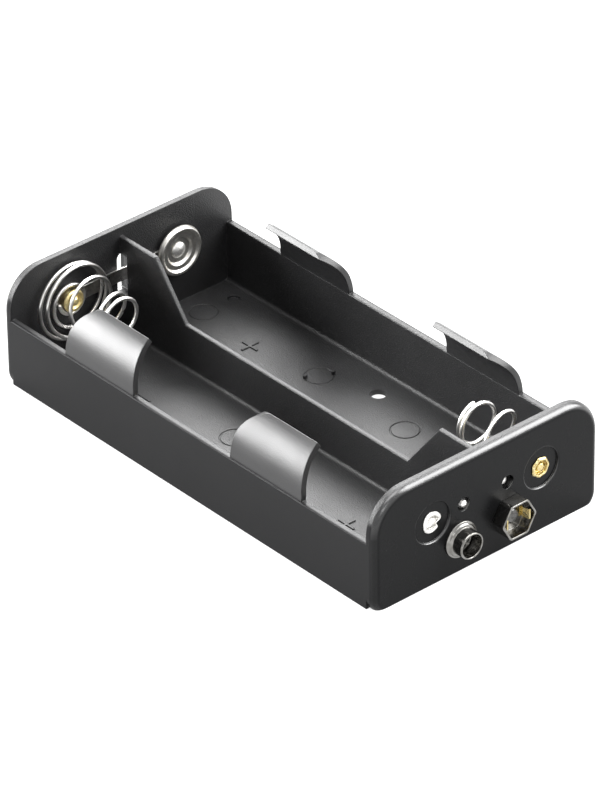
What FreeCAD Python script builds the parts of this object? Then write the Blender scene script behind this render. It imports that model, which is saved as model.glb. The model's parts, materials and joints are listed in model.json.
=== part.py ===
# Battery holder for four C cells, two side by side in each of two bays end to end,
# with a positive stud and a negative socket on the near end plate.
# Frame: origin on the underside between the two mounting holes, +X towards the plate
# with the studs, +Y towards the back wall, +Z up. Sizes in millimetres.
import FreeCAD, Part
import math
import os

import Sketcher
from FreeCAD import Placement, Rotation, Vector

SIZES = {
    # Moulding
    "holder_length": 110.8,
    "holder_width": 58.0,
    "plate_height": 25.0,
    "wall_height": 14.9,
    "wall_thickness": 1.5,
    "plate_thickness": 2.3,
    "floor_thickness": 1.2,
    "partition_thickness": 1.1,
    "partition_height": 11.3,
    "top_corner_radius": 8.5,
    "bottom_corner_radius": 4.0,
    "plate_edge_fillet": 1.5,
    "gusset_height": 22.9,
    "gusset_top_reach": 10.9,
    "gusset_foot_reach": 20.0,
    "rim_fillet": 0.3,
    "floor_fillet": 0.8,
    # Clips that snap over the cells
    "clip_width": 20.8,
    "clip_spacing": 49.8,
    "clip_shift": 1.0,
    "clip_thickness": 1.2,
    "clip_inset": 0.25,
    "clip_root": 0.6,
    "clip_radius": 12.4,
    "clip_sweep": 59.0,
    "clip_corner_radius": 6.0,
    "clip_slant": 2.0,
    # Contacts, shared by the plates and the metal pieces
    "contact_height": 14.1,
    "rivet_bore": 3.0,
    "recess_diameter": 8.8,
    "recess_depth": 0.5,
    "recess_fillet": 0.35,
    "slot_width": 2.8,
    "slot_bottom": 9.5,
    "slot_top": 19.0,
    "window_depth": 2.1,
    "fit_clearance": 0.1,
    # Mounting holes in the floor
    "mount_hole": 3.4,
    "mount_spacing": 43.0,
    # Marks of the mould on the floor
    "ring_diameter": 6.3,
    "ring_line": 0.3,
    "near_ring_x": 13.3,
    "near_ring_y": 2.7,
    "middle_ring_x": -12.9,
    "middle_ring_y": 3.1,
    "far_ring_x": -46.7,
    "far_ring_y": 1.5,
    "front_ring_x": -7.2,
    "front_ring_y": -4.0,
    "mark_depth": 0.15,
    "dimple_diameter": 2.6,
    "dimple_depth": 0.5,
    "dimple_from_plate": 6.6,
    "dimple_from_wall": 4.0,
    "pip_width": 0.4,
    "pip_length": 0.9,
    "pip_height": 0.7,
    "pip_shift_x": 1.3,
    "pip_shift_y": 2.6,
    "sign_length": 4.4,
    "sign_line": 0.45,
    "sign_relief": 0.25,
    "sign_distance": 30.5,
    # Straps
    "strap_thickness": 0.4,
    "strap_width": 3.0,
    "strap_eye": 6.6,
    # Springs
    "wire_diameter": 0.88,
    "spring_loop_radius": 3.1,
    "spring_base_radius": 8.4,
    "spring_tip_radius": 4.4,
    "spring_free_length": 16.8,
    "spring_lean": 0.17,
    "spring_gap": 0.01,
    # Rivets of the contacts
    "spring_rivet_head": 5.8,
    "disc_rivet_head": 3.8,
    "rivet_head_thickness": 0.7,
    "rivet_tail": 4.5,
    "rivet_tail_length": 0.5,
    "rivet_hollow": 1.6,
    "rivet_lip": 0.3,
    "rivet_dome_depth": 0.28,
    "rivet_groove_depth": 0.42,
    # Disc contacts
    "disc_diameter": 11.2,
    "disc_gauge": 0.35,
    "disc_rim_rise": 1.1,
    # Studs
    "stud_spacing": 12.7,
    "stud_shift": 0.7,
    "stud_height": 7.3,
    "view_hole": 3.0,
    "left_view_hole": 6.1,
    "right_view_hole": 5.2,
    "view_hole_height": 14.8,
    "stud_flange": 7.8,
    "stud_tube": 5.75,
    "stud_wall": 0.45,
    "stud_proud": 3.5,
    "stud_gauge": 0.4,
    "stud_rim": 0.3,
    "stud_edge": 0.15,
    "stud_step": 0.4,
    "stud_collar": 0.8,
    "stud_foot": 1.0,
    "socket_flats": 7.7,
    "socket_proud": 3.0,
    "socket_wall": 0.4,
    "stud_rivet_head": 3.6,
    "stud_rivet_head_thickness": 0.6,
    "stud_rivet_brim": 0.25,
    "stud_rivet_chamfer": 0.5,
    "stud_rivet_tail": 3.0,
    "stud_rivet_tail_thickness": 0.3,
    "stud_rivet_tail_chamfer": 0.2,
    "stud_rivet_bore": 2.6,
    "leaf_width": 2.2,
    "leaf_gauge": 0.3,
    "leaf_gap": 5.0,
    "leaf_foot": 1.95,
    "leaf_waist_height": 0.9,
    "leaf_bend": 0.25,
    "leaf_below_rim": 0.3,
}

HALF_LENGTH = "Sizes.holder_length / 2"
HALF_WIDTH = "Sizes.holder_width / 2"
INNER_X = "(Sizes.holder_length / 2 - Sizes.plate_thickness)"
INNER_Y = "(Sizes.holder_width / 2 - Sizes.wall_thickness)"
HALF_PARTITION = "(Sizes.partition_thickness / 2)"
CONTACT_Y = f"(({INNER_Y} + {HALF_PARTITION}) / 2)"
CLIP_ROOT = "(Sizes.wall_height - Sizes.clip_root)"
CLIP_TOP = f"({CLIP_ROOT} + Sizes.clip_radius * sin(Sizes.clip_sweep))"
MALE_Y = "(-Sizes.stud_spacing / 2 - Sizes.stud_shift)"
FEMALE_Y = "(Sizes.stud_spacing / 2 - Sizes.stud_shift)"
# Cuts run past the faces by a margin, and lengths closer than the tolerance are equal.
MARGIN = 1.0
AXIS_REACH = 10.0
CLOSE = 1e-4
# Sides of the hexagonal socket
SOCKET_SIDES = 6
SIDE_TURN = 360 // SOCKET_SIDES
# Rings on the floor: name and the side of the middle that they lie on
RINGS = (("near_ring", ""), ("middle_ring", ""), ("far_ring", ""), ("front_ring", "-"))
# Section of the disc: share of the rim's rise and share of the outer radius
DISC_COURSE = ((0.0, 0.52), (0.55, 0.58), (0.55, 0.76), (1.0, 0.84), (1.0, 0.93), (0.3, 1.0))
# Rings of the spring's mesh for each turn, and sides of its wire
SPRING_STEPS = 18
WIRE_SIDES = 8
# Angles of springs are counted in turns, as is the loop round the rivet
HALF_TURN = 0.5
LOOP_TURNS = (0.5, 1.25)
# Cone of the spring: turns, share of the way from the tip's to the base's radius, and
# share of the climb
CONE_COURSE = (
    (2.0, 0.88, 0.006),
    (2.5, 1.0, 0.025),
    (3.0, 0.93, 0.066),
    (3.5, 0.88, 0.132),
    (3.75, 0.75, 0.182),
    (4.0, 0.6, 0.258),
    (4.25, 0.4, 0.327),
    (4.5, 0.24, 0.403),
    (4.75, 0.15, 0.528),
    (5.0, 0.1, 0.686),
    (5.25, 0.06, 0.818),
    (5.5, 0.04, 0.9),
    (6.0, 0.0, 0.962),
    (6.75, 0.0, 1.0),
)

doc = FreeCAD.newDocument("battery_holder")
sheet = doc.addObject("Spreadsheet::Sheet", "Sizes")


def fill_sheet():
    """Write every driving dimension into the sheet, one row each."""
    for row, (alias, size) in enumerate(SIZES.items(), start=1):
        sheet.set(f"A{row}", alias)
        sheet.set(f"B{row}", str(size))
        sheet.setAlias(f"B{row}", alias)
    doc.recompute()


def number(expression):
    """Value of an expression over the sheet, as a float."""
    return float(sheet.evalExpression(str(expression)))


def add_body(name):
    """A new body whose label is the name of its file."""
    body = doc.addObject("PartDesign::Body", name)
    body.Label = name
    return body


def origin_plane(body, role):
    """One of the body's own origin planes or axes."""
    return [item for item in body.Origin.OriginFeatures if item.Role == role][0]


def add_sketch(body, name, role, offset="0"):
    """An empty sketch on an origin plane, moved along the plane's normal."""
    sketch = body.newObject("Sketcher::SketchObject", name)
    sketch.AttachmentSupport = (origin_plane(body, role), [""])
    sketch.MapMode = "FlatFace"
    sketch.AttachmentOffset = Placement(Vector(0, 0, number(offset)), Rotation())
    if offset != "0":
        sketch.setExpression("AttachmentOffset.Base.z", offset)
    return sketch


def bind(sketch, kind, references, expression):
    """Add one dimension to a sketch and bind it to an expression."""
    index = sketch.addConstraint(Sketcher.Constraint(kind, *references, number(expression)))
    sketch.setExpression(f"Constraints[{index}]", str(expression))


def arc_between(start, end, radius, turn):
    """Arc from start to end: turn 1 runs anticlockwise, -1 clockwise."""
    chord = end - start
    height = math.sqrt(max(radius * radius - chord.Length ** 2 / 4, 0.0))
    left = Vector(-chord.y, chord.x, 0).normalize()
    centre = (start + end) / 2 + left * (height * turn)
    first, last = (start, end) if turn > 0 else (end, start)
    low = math.atan2(first.y - centre.y, first.x - centre.x)
    high = math.atan2(last.y - centre.y, last.x - centre.x)
    if high < low:
        high += 2 * math.pi
    return Part.ArcOfCircle(Part.Circle(centre, Vector(0, 0, 1), radius), low, high)


def add_outline(sketch, corners, arcs=None):
    """Closed outline through corners, given as pairs of expressions.

    arcs maps the number of a stretch to its radius and its turn, 1 or -1.
    """
    arcs = arcs or {}
    points = [Vector(number(across), number(up), 0) for across, up in corners]
    edges = []
    for place, start in enumerate(points):
        end = points[(place + 1) % len(points)]
        if place in arcs:
            radius, turn = arcs[place]
            edge = sketch.addGeometry(arc_between(start, end, number(radius), turn), False)
            bind(sketch, "Radius", (edge,), radius)
            edges.append((edge, 1, 2) if turn > 0 else (edge, 2, 1))
        else:
            edges.append((sketch.addGeometry(Part.LineSegment(start, end), False), 1, 2))
    for place, (edge, first, _) in enumerate(edges):
        before, _, last = edges[place - 1]
        sketch.addConstraint(Sketcher.Constraint("Coincident", before, last, edge, first))
        bind(sketch, "DistanceX", (-1, 1, edge, first), corners[place][0])
        bind(sketch, "DistanceY", (-1, 1, edge, first), corners[place][1])


def add_rectangle(sketch, left, right, low, high):
    """Closed rectangle between four expressions."""
    add_outline(sketch, [(left, low), (right, low), (right, high), (left, high)])


def add_circle(sketch, across, up, diameter):
    """Circle with its centre and diameter bound to expressions."""
    circle = Part.Circle(Vector(number(across), number(up), 0), Vector(0, 0, 1), number(diameter) / 2)
    index = sketch.addGeometry(circle, False)
    bind(sketch, "Diameter", (index,), diameter)
    bind(sketch, "DistanceX", (-1, 1, index, 3), across)
    bind(sketch, "DistanceY", (-1, 1, index, 3), up)


def pad(body, sketch, length, symmetric=False, backwards=False):
    """Add material from a sketch."""
    feature = body.newObject("PartDesign::Pad", sketch.Name + "_pad")
    feature.Profile = sketch
    feature.setExpression("Length", length)
    feature.SideType = "Symmetric" if symmetric else "One side"
    feature.Reversed = backwards
    doc.recompute()
    return feature


def pocket(body, sketch, length, symmetric=False, backwards=False):
    """Remove material from a sketch and make sure that some was removed."""
    before = body.Shape.Volume
    feature = body.newObject("PartDesign::Pocket", sketch.Name + "_pocket")
    feature.Profile = sketch
    feature.setExpression("Length", length)
    feature.SideType = "Symmetric" if symmetric else "One side"
    feature.Reversed = backwards
    doc.recompute()
    if body.Shape.Volume >= before:
        raise RuntimeError(f"{feature.Name} removes nothing")
    return feature


def revolve(body, sketch, angle="360", axis=None):
    """Turn a sketch about the body's X axis, or about another line."""
    feature = body.newObject("PartDesign::Revolution", sketch.Name + "_turned")
    feature.Profile = sketch
    feature.ReferenceAxis = axis or (origin_plane(body, "X_Axis"), [""])
    feature.setExpression("Angle", angle)
    doc.recompute()
    return feature


def fillet(body, radius, wanted):
    """Round the edges of the body for which wanted(edge) holds."""
    base = body.Tip
    names = [f"Edge{n}" for n, edge in enumerate(base.Shape.Edges, start=1) if wanted(edge)]
    feature = body.newObject("PartDesign::Fillet", f"{base.Name}_round")
    feature.Base = (base, names)
    feature.setExpression("Radius", radius)
    doc.recompute()
    return feature


def seat(body, end, across, up, along=INNER_X):
    """Place a piece on the inner face of an end plate, its own +X pointing outwards.

    end is 1 for the near plate and -1 for the far one, which is the near one turned
    half a turn about Z.
    """
    turn = 0 if end > 0 else 180
    body.Placement = Placement(Vector(), Rotation(Vector(0, 0, 1), turn))
    body.setExpression("Placement.Base.x", f"{end} * {along}")
    body.setExpression("Placement.Base.y", f"{end} * {across}")
    body.setExpression("Placement.Base.z", up)
    doc.recompute()


def make_shell(body):
    """Both end plates, rounded, and the box with the two bays between them."""
    side, low, high = HALF_WIDTH, "Sizes.bottom_corner_radius", "Sizes.top_corner_radius"
    height, sunk = "Sizes.plate_height", "-Sizes.plate_edge_fillet"
    corners = [
        (f"-{side} + {low}", sunk),
        (f"{side} - {low}", sunk),
        (side, f"{sunk} + {low}"),
        (side, f"{height} - {high}"),
        (f"{side} - {high}", height),
        (f"-{side} + {high}", height),
        (f"-{side}", f"{height} - {high}"),
        (f"-{side}", f"{sunk} + {low}"),
    ]
    box = add_sketch(body, "box_outline", "YZ_Plane", f"-{INNER_X}")
    add_rectangle(box, f"-{side}", side, "0", "Sizes.wall_height")
    pad(body, box, f"2 * {INNER_X}")
    for name, start in (("far", f"-{HALF_LENGTH}"), ("near", INNER_X)):
        outline = add_sketch(body, f"{name}_plate", "YZ_Plane", start)
        add_outline(outline, corners, {1: (low, 1), 3: (high, 1), 5: (high, 1), 7: (low, 1)})
        pad(body, outline, "Sizes.plate_thickness")
    round_plates(body)

    below = add_sketch(body, "below_base", "XY_Plane")
    along, across = f"{HALF_LENGTH} + {MARGIN}", f"{side} + {MARGIN}"
    add_rectangle(below, f"-({along})", along, f"-({across})", across)
    pocket(body, below, f"Sizes.plate_edge_fillet + {MARGIN}")

    bays = add_sketch(body, "bays", "XY_Plane", "Sizes.floor_thickness")
    add_rectangle(bays, f"-{INNER_X}", INNER_X, HALF_PARTITION, INNER_Y)
    add_rectangle(bays, f"-{INNER_X}", INNER_X, f"-{INNER_Y}", f"-{HALF_PARTITION}")
    pocket(body, bays, height, backwards=True)


def make_partition(body):
    """Lower the partition below the walls and add a gusset at each end plate."""
    low, high = "Sizes.partition_height", "Sizes.gusset_height"
    top = add_sketch(body, "partition_top", "XZ_Plane")
    add_rectangle(top, f"-{INNER_X}", INNER_X, low, f"Sizes.wall_height + {MARGIN}")
    pocket(body, top, "2 * Sizes.partition_thickness", symmetric=True)

    gussets = add_sketch(body, "gussets", "XZ_Plane")
    root = f"{low} - {MARGIN}"
    for sign in ("", "-"):
        corners = [
            (f"{sign}{INNER_X}", root),
            (f"{sign}({INNER_X} - Sizes.gusset_foot_reach)", root),
            (f"{sign}({INNER_X} - Sizes.gusset_foot_reach)", low),
            (f"{sign}({INNER_X} - Sizes.gusset_top_reach)", high),
            (f"{sign}{INNER_X}", high),
        ]
        add_outline(gussets, corners)
    pad(body, gussets, "Sizes.partition_thickness", symmetric=True)


def make_clips(body):
    """Curved clips on both walls, turned about an axis along the wall.

    Each has a slanted end with a sharp corner and an end with a large rounded corner.
    The clips of the back wall face the other way.
    """
    thick, radius = "Sizes.clip_thickness", "Sizes.clip_radius"
    outside = f"({HALF_WIDTH} - Sizes.clip_inset)"
    for name, sign, facing in (("front", "-", 1), ("back", "", -1)):
        sketch = add_sketch(body, f"{name}_clips", "XY_Plane", CLIP_ROOT)
        centres = [f"({side} * Sizes.clip_spacing / 2 - Sizes.clip_shift)" for side in (-1, 1)]
        for centre in centres:
            add_rectangle(
                sketch,
                f"{centre} - Sizes.clip_width / 2",
                f"{centre} + Sizes.clip_width / 2",
                f"{sign}{outside}",
                f"{sign}({outside} - {thick})",
            )
        height = number(f"{sign}({outside} - {radius})")
        reach = AXIS_REACH * facing
        axis = Part.LineSegment(Vector(reach, height, 0), Vector(-reach, height, 0))
        line = sketch.addGeometry(axis, True)
        sketch.addConstraint(Sketcher.Constraint("Horizontal", line))
        bind(sketch, "DistanceY", (-1, 1, line, 1), f"{sign}({outside} - {radius})")
        bind(sketch, "DistanceX", (-1, 1, line, 1), str(reach))
        bind(sketch, "DistanceX", (-1, 1, line, 2), str(-reach))
        revolve(body, sketch, "Sizes.clip_sweep", (sketch, ["Axis0"]))
        trim_clips(body, name, centres, facing)


def trim_clips(body, name, centres, facing):
    """Cut the rounded corner and the slanted end of the clips of one wall."""
    side = facing
    trim = add_sketch(body, f"{name}_trim", "XZ_Plane", f"{facing} * ({HALF_WIDTH} + {MARGIN})")
    above = f"{CLIP_TOP} + {MARGIN}"
    corner = "Sizes.clip_corner_radius"
    for centre in centres:
        sharp = f"({centre} + {side} * Sizes.clip_width / 2)"
        blunt = f"({centre} - {side} * Sizes.clip_width / 2)"
        slant = [
            (sharp, f"Sizes.wall_height + {MARGIN}"),
            (f"{sharp} - {side} * Sizes.clip_slant", CLIP_TOP),
            (f"{sharp} - {side} * Sizes.clip_slant", above),
            (f"{sharp} + {side} * {MARGIN}", above),
            (f"{sharp} + {side} * {MARGIN}", f"Sizes.wall_height + {MARGIN}"),
        ]
        add_outline(trim, slant)
        rounding = [
            (blunt, f"{CLIP_TOP} - {corner}"),
            (f"{blunt} + {side} * {corner}", CLIP_TOP),
            (f"{blunt} + {side} * {corner}", above),
            (f"{blunt} - {side} * {MARGIN}", above),
            (f"{blunt} - {side} * {MARGIN}", f"{CLIP_TOP} - {corner}"),
        ]
        add_outline(trim, rounding, {0: (corner, -side)})
    pocket(body, trim, f"{HALF_WIDTH} / 2", backwards=facing < 0)


def make_plate_holes(body):
    """Rivet bores with their recesses, view holes and stud bores, and the far slot."""
    height = "Sizes.contact_height"
    for name, end in (("near", 1), ("far", -1)):
        face = f"{end} * {HALF_LENGTH}"
        recess = add_sketch(body, f"{name}_recesses", "YZ_Plane", face)
        bores = add_sketch(body, f"{name}_bores", "YZ_Plane", face)
        for sign in ("", "-"):
            add_circle(recess, f"{sign}{CONTACT_Y}", height, "Sizes.recess_diameter")
            add_circle(bores, f"{sign}{CONTACT_Y}", height, "Sizes.rivet_bore")
        if end > 0:
            add_circle(bores, "Sizes.right_view_hole", "Sizes.view_hole_height", "Sizes.view_hole")
            add_circle(bores, "-Sizes.left_view_hole", "Sizes.view_hole_height", "Sizes.view_hole")
            add_circle(bores, MALE_Y, "Sizes.stud_height", "Sizes.stud_rivet_bore")
            add_circle(bores, FEMALE_Y, "Sizes.stud_height", "Sizes.stud_rivet_bore")
        pocket(body, recess, "Sizes.recess_depth", backwards=end < 0)
        pocket(body, bores, "Sizes.plate_thickness", backwards=end < 0)

    half, top = "Sizes.slot_width / 2", "Sizes.slot_top"
    slot = add_sketch(body, "far_slot", "YZ_Plane", f"-{HALF_LENGTH}")
    corners = [
        (f"-{half}", "Sizes.slot_bottom"),
        (half, "Sizes.slot_bottom"),
        (half, f"{top} - {half}"),
        ("0", top),
        (f"-{half}", f"{top} - {half}"),
    ]
    add_outline(slot, corners, {2: (half, 1), 3: (half, 1)})
    pocket(body, slot, "Sizes.plate_thickness", backwards=True)

    window = add_sketch(body, "gusset_window", "XZ_Plane")
    inner = f"-{INNER_X}"
    add_rectangle(window, inner, f"{inner} + Sizes.window_depth", "Sizes.slot_bottom", top)
    pocket(body, window, "2 * Sizes.partition_thickness", symmetric=True)


def round_rims(body):
    """Round the walls' rims, the partition with its gussets and the foot of each bay."""
    wall, low = number("Sizes.wall_height"), number("Sizes.partition_height")
    floor, half = number("Sizes.floor_thickness"), number(HALF_PARTITION)
    inner = number(INNER_X)

    def level(edge, height):
        box = edge.BoundBox
        flat = box.ZLength < CLOSE and abs(box.ZMin - height) < CLOSE
        return flat and box.XLength > 2 * inner - MARGIN

    def on_partition(edge):
        box = edge.BoundBox
        beside = box.YLength < CLOSE and abs(abs(box.YMin) - half) < CLOSE
        return beside and box.ZMin > low - CLOSE and box.XLength > MARGIN

    fillet(body, "Sizes.rim_fillet", lambda edge: level(edge, wall) or on_partition(edge))
    fillet(body, "Sizes.floor_fillet", lambda edge: level(edge, floor))


def ring_place(name, side):
    """Centre of one ring on the floor, as two expressions."""
    return f"Sizes.{name}_x", f"{side}({CONTACT_Y} + Sizes.{name}_y)"


def make_floor_marks(body):
    """Mounting holes, rings and dimples left by ejector pins, and the pips at one ring."""
    floor = "Sizes.floor_thickness"
    holes = add_sketch(body, "mount_holes", "XY_Plane", floor)
    add_circle(holes, "0", "Sizes.mount_spacing / 2", "Sizes.mount_hole")
    add_circle(holes, "0", "-Sizes.mount_spacing / 2", "Sizes.mount_hole")
    pocket(body, holes, floor)

    rings = add_sketch(body, "ejector_rings", "XY_Plane", floor)
    for name, side in RINGS:
        along, across = ring_place(name, side)
        add_circle(rings, along, across, "Sizes.ring_diameter")
        add_circle(rings, along, across, "Sizes.ring_diameter - 2 * Sizes.ring_line")
    pocket(body, rings, "Sizes.mark_depth")

    dimples = add_sketch(body, "dimples", "XY_Plane", floor)
    along = f"({INNER_X} - Sizes.dimple_from_plate)"
    across = f"({INNER_Y} - Sizes.dimple_from_wall)"
    add_circle(dimples, f"-{along}", across, "Sizes.dimple_diameter")
    add_circle(dimples, along, f"-{across}", "Sizes.dimple_diameter")
    pocket(body, dimples, "Sizes.dimple_depth")

    pips = add_sketch(body, "pips", "XY_Plane", floor)
    ring_x, ring_y = ring_place("middle_ring", "")
    wide, half = "Sizes.pip_width / 2", "Sizes.pip_length / 2"
    for sign in ("+", "-"):
        along = f"({ring_x} {sign} Sizes.pip_shift_x)"
        across = f"({ring_y} {sign} Sizes.pip_shift_y)"
        sides = (f"{along} - {wide}", f"{along} + {wide}", f"{across} - {half}", f"{across} + {half}")
        add_rectangle(pips, *sides)
    pad(body, pips, "Sizes.pip_height")


def make_signs(body):
    """Raised plus and minus signs in both bays, beside the contacts that they name."""
    signs = add_sketch(body, "polarity_signs", "XY_Plane", "Sizes.floor_thickness")
    half, line = "(Sizes.sign_length / 2)", "(Sizes.sign_line / 2)"
    cross = [(half, line), (line, line), (line, half)]
    for side in (-1, 1):
        along, across = f"{side} * Sizes.sign_distance", f"{side} * {CONTACT_Y}"
        quarters = [
            [(f"{dx}", f"{dy}") for dx, dy in cross],
            [(f"-{dx}", f"{dy}") for dx, dy in cross[::-1]],
            [(f"-{dx}", f"-{dy}") for dx, dy in cross],
            [(f"{dx}", f"-{dy}") for dx, dy in cross[::-1]],
        ]
        plus = [(f"-{along} + {dx}", f"{across} + {dy}") for quarter in quarters for dx, dy in quarter]
        add_outline(signs, plus)
        minus = [f"{along} - {half}", f"{along} + {half}", f"{across} - {line}", f"{across} + {line}"]
        add_rectangle(signs, *minus)
    pad(body, signs, "Sizes.sign_relief")


def round_plates(body):
    """Round the outline of both end plates' outer faces."""
    face = number(HALF_LENGTH)

    def on_outer_face(edge):
        box = edge.BoundBox
        return box.XLength < CLOSE and abs(abs(box.XMin) - face) < CLOSE

    fillet(body, "Sizes.plate_edge_fillet", on_outer_face)


def round_recesses(body):
    """Round the mouths of the rivets' recesses."""
    face, bore = number(HALF_LENGTH), number("Sizes.recess_diameter")

    def on_mouth(edge):
        box = edge.BoundBox
        flat = box.XLength < CLOSE and abs(abs(box.XMin) - face) < CLOSE
        return flat and abs(box.ZLength - bore) < CLOSE

    fillet(body, "Sizes.recess_fillet", on_mouth)


def make_holder():
    """The moulding: everything of plastic is one piece."""
    body = add_body("holder_body")
    make_shell(body)
    make_partition(body)
    round_rims(body)
    make_clips(body)
    make_plate_holes(body)
    round_recesses(body)
    make_floor_marks(body)
    make_signs(body)
    return body


def make_rivet(name, end, across, head, under_head):
    """Tubular rivet: head inside, tail rolled over in the recess of the plate.

    head is the head's diameter and under_head the stack that it clamps on the plate.
    """
    body = add_body(name)
    sketch = add_sketch(body, f"{name}_section", "XY_Plane")
    shank, hollow = "Sizes.rivet_bore / 2 - Sizes.fit_clearance", "Sizes.rivet_hollow / 2"
    seat_x = "(Sizes.plate_thickness - Sizes.recess_depth)"
    thick = "Sizes.rivet_head_thickness"
    tail, reach = "Sizes.rivet_tail / 2", "Sizes.rivet_tail_length"
    top = f"-{under_head} - {thick}"
    corners = [
        (f"{top} + Sizes.rivet_dome_depth", "0"),
        (f"{top} + Sizes.rivet_groove_depth", hollow),
        (top, f"{hollow} + Sizes.rivet_lip"),
        (top, f"{head} / 2 - {thick} / 2"),
        (f"-{under_head} - {thick} / 2", f"{head} / 2"),
        (f"-{under_head}", f"{head} / 2"),
        (f"-{under_head}", shank),
        (seat_x, shank),
        (seat_x, tail),
        (f"{seat_x} + {reach} / 2", tail),
        (f"{seat_x} + {reach}", f"{tail} - {reach} / 2"),
        (f"{seat_x} + {reach}", hollow),
        ("0", hollow),
        ("0", "0"),
    ]
    add_outline(sketch, corners)
    revolve(body, sketch)
    seat(body, end, across, "Sizes.contact_height")
    return body


def make_disc(name, end, across):
    """Stamped disc with a raised rim, a step and a flat centre on the strap."""
    body = add_body(name)
    sketch = add_sketch(body, f"{name}_section", "XY_Plane")
    gauge, rise = "Sizes.disc_gauge", "Sizes.disc_rim_rise"
    strap, outer = "Sizes.strap_thickness", "Sizes.disc_diameter / 2"
    stations = [(f"-{strap}", "Sizes.rivet_bore / 2")]
    stations += [(f"-{strap} - {rise} * {up}", f"{outer} * {out}") for up, out in DISC_COURSE]
    inside = [(f"{along} - {gauge}", radius) for along, radius in stations]
    add_outline(sketch, stations + inside[::-1])
    revolve(body, sketch)
    seat(body, end, across, "Sizes.contact_height")
    return body


def make_bridge():
    """Strap on the far plate, from the spring's rivet through the gusset to the disc."""
    body = add_body("bridge_strap")
    strip = add_sketch(body, "bridge_strip", "YZ_Plane")
    half = "Sizes.strap_width / 2"
    add_rectangle(strip, f"-{CONTACT_Y}", CONTACT_Y, f"-{half}", half)
    pad(body, strip, "Sizes.strap_thickness", backwards=True)
    eyes = add_sketch(body, "bridge_eyes", "YZ_Plane")
    holes = add_sketch(body, "bridge_holes", "YZ_Plane")
    for sign in ("", "-"):
        add_circle(eyes, f"{sign}{CONTACT_Y}", "0", "Sizes.strap_eye")
        add_circle(holes, f"{sign}{CONTACT_Y}", "0", "Sizes.rivet_bore")
    pad(body, eyes, "Sizes.strap_thickness", backwards=True)
    pocket(body, holes, "Sizes.strap_thickness")
    seat(body, -1, "0", "Sizes.contact_height")
    return body


def make_stud_strap(name, sign, stud_y):
    """Strap on the near plate, from a contact past the view hole down to its stud."""
    body = add_body(name)
    half, level = "Sizes.strap_width / 2", "Sizes.contact_height"
    contact = f"{sign}{CONTACT_Y}"
    outward = f"({stud_y} {sign or '+'} {half})"
    inward = f"({stud_y} - ({sign}{half}))"
    arm = add_sketch(body, f"{name}_arm", "YZ_Plane")
    corners = [
        (contact, f"{level} - {half}"),
        (contact, f"{level} + {half}"),
        (inward, f"{level} + {half}"),
        (inward, "Sizes.stud_height"),
        (outward, "Sizes.stud_height"),
        (outward, f"{level} - {half}"),
    ]
    add_outline(arm, corners)
    pad(body, arm, "Sizes.strap_thickness", backwards=True)
    eyes = add_sketch(body, f"{name}_eyes", "YZ_Plane")
    add_circle(eyes, contact, level, "Sizes.strap_eye")
    add_circle(eyes, stud_y, "Sizes.stud_height", "Sizes.strap_eye")
    pad(body, eyes, "Sizes.strap_thickness", backwards=True)
    holes = add_sketch(body, f"{name}_holes", "YZ_Plane")
    add_circle(holes, contact, level, "Sizes.rivet_bore")
    add_circle(holes, stud_y, "Sizes.stud_height", "Sizes.stud_rivet_bore")
    pocket(body, holes, "Sizes.strap_thickness")
    seat(body, 1, "0", "0")
    return body


def spring_stations():
    """Turns, radius and height above the strap along a conical spring.

    It starts as a loop round the rivet, runs out on the strap to two wide turns and
    climbs as a cone to the narrow turns at the tip.
    """
    loop = number("Sizes.spring_loop_radius")
    tip = number("Sizes.spring_tip_radius")
    spread = number("Sizes.spring_base_radius") - tip
    climb = number("Sizes.spring_free_length - Sizes.wire_diameter")
    stations = [(turns, loop, 0.0) for turns in LOOP_TURNS]
    return stations + [(turns, tip + out * spread, up * climb) for turns, out, up in CONE_COURSE]


def spring_ring(stations, turns, phase):
    """Corners of the wire's section at one place along the spring, right-handed."""
    radius, height = interpolate(stations, turns)
    angle = 2 * math.pi * (turns + phase)
    out = Vector(0, math.cos(angle), -math.sin(angle))
    centre = Vector(-height, radius * out.y, radius * out.z + number("Sizes.spring_lean") * height)
    half = number("Sizes.wire_diameter") / 2
    spread = [2 * math.pi * k / WIRE_SIDES for k in range(WIRE_SIDES)]
    return [centre + out * (half * math.cos(a)) + Vector(half * math.sin(a), 0, 0) for a in spread]


def interpolate(stations, turns):
    """Radius and height between two stations."""
    for (start, radius, height), (end, next_radius, next_height) in zip(stations, stations[1:]):
        if turns <= end:
            share = (turns - start) / (end - start)
            return radius + (next_radius - radius) * share, height + (next_height - height) * share
    return stations[-1][1], stations[-1][2]


def make_spring(name, end, across):
    """Conical spring: rings of the wire's section joined by flat triangles.

    The far spring starts half a turn later than the near one.
    """
    stations = spring_stations()
    start = stations[0][0]
    phase = 0.0 if end > 0 else HALF_TURN
    count = int((stations[-1][0] - start) * SPRING_STEPS)
    places = [start + step / SPRING_STEPS for step in range(count + 1)]
    rings = [spring_ring(stations, place, phase) for place in places]
    triangles = []
    for ring, following in zip(rings, rings[1:]):
        for k in range(WIRE_SIDES):
            after = (k + 1) % WIRE_SIDES
            triangles.append((ring[k], ring[after], following[after]))
            triangles.append((ring[k], following[after], following[k]))
    faces = [Part.Face(Part.makePolygon([*corners, corners[0]])) for corners in triangles]
    faces += [Part.Face(Part.makePolygon([*ring, ring[0]])) for ring in (rings[0], rings[-1])]
    solid = Part.makeSolid(Part.makeShell(faces))
    if solid.Volume < 0:
        solid.reverse()
    lift = number("Sizes.strap_thickness + Sizes.spring_gap + Sizes.wire_diameter / 2")
    feature = doc.addObject("Part::Feature", name)
    feature.Label = name
    feature.Shape = solid
    feature.Placement = Placement(
        Vector(end * (number(INNER_X) - lift), end * number(across), number("Sizes.contact_height")),
        Rotation(Vector(0, 0, 1), 0 if end > 0 else 180),
    )
    return feature


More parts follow.
